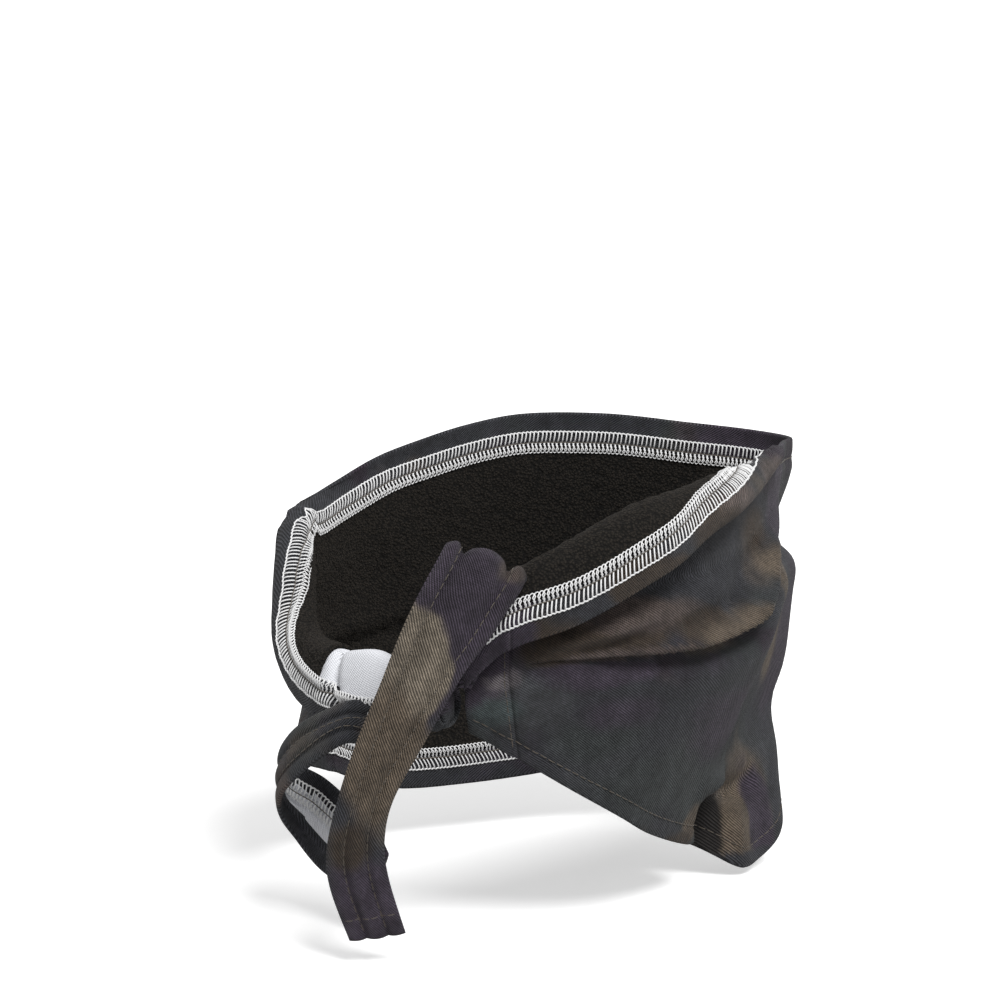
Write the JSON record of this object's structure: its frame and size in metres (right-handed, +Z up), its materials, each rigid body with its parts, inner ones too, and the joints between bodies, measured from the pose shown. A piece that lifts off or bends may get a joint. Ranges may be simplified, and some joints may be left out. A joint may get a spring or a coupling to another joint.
{
  "type": "tie-back fleece-lined face mask",
  "caption": "Camouflage knit face mask with a dark fleece liner, tied behind the head, its top edge turned out and its tie ends hanging.",
  "frame": {"origin": "centre of the head opening, on the axis of the head that wears the mask, just under the level of the upper edge", "axes": "+Z up along the wearer's head axis, the nose towards -Y, the wearer's right side and the knot towards -X"},
  "size_m": [0.156, 0.2115, 0.136],
  "materials": {
    "camo_knit": "printed stretch knit, matt with a slight sheen",
    "black_fleece": "pebbly micro-fleece",
    "white_thread": "textured looper thread",
    "tan_thread": "sewing thread",
    "white_knit": "unprinted reverse of the knit"
  },
  "bodies": {
    "mask": {"face_panel": "camo_knit", "face_liner": "black_fleece", "top_cuff": "camo_knit", "cuff_liner": "black_fleece", "near_bib": "camo_knit", "near_bib_liner": "black_fleece", "far_bib": "camo_knit", "far_bib_liner": "black_fleece", "chin_bib": "camo_knit", "chin_bib_liner": "black_fleece", "near_wing": "camo_knit", "far_wing": "camo_knit", "far_wing_liner": "black_fleece", "near_side_seam": "tan_thread", "far_side_seam": "tan_thread", "cuff_web": "white_thread", "nose_web": "white_thread", "far_top_web": "white_thread", "near_bottom_web": "white_thread", "far_bottom_web": "white_thread", "top_stitching": "tan_thread", "near_bottom_stitching": "tan_thread", "far_bottom_stitching": "tan_thread", "near_knot_turn": "camo_knit", "far_knot_turn": "camo_knit", "near_tie_rise": "camo_knit", "far_tie_root": "camo_knit"},
    "front_bib": {"front_bib": "camo_knit", "front_bib_liner": "black_fleece", "front_bottom_web": "white_thread", "front_bottom_stitching": "tan_thread"},
    "near_tail": {"near_tail": "camo_knit", "near_tail_stitching": "tan_thread", "near_tail_end_hem": "camo_knit"},
    "far_tail": {"far_tail": "camo_knit", "far_tail_web": "white_thread", "far_tail_stitching": "tan_thread", "far_tail_end_hem": "camo_knit"}
  },
  "joints": [
    {"name": "front_bib_lift", "type": "hinge", "parent": "mask", "child": "front_bib", "pos_m": [-0.036, -0.08, -0.088], "axis": [-0.6606, 0.7507, 0], "range_deg": [0, 25]},
    {"name": "near_tail_swing", "type": "hinge", "parent": "mask", "child": "near_tail", "pos_m": [-0.0565, 0.0505, -0.0055], "axis": [0.5697, 0.7996, 0.1899], "range_deg": [0, 60]},
    {"name": "far_tail_swing", "type": "hinge", "parent": "mask", "child": "far_tail", "pos_m": [-0.027, 0.069, -0.055], "axis": [0.8131, 0.5822, 0], "range_deg": [0, 30]}
  ]
}
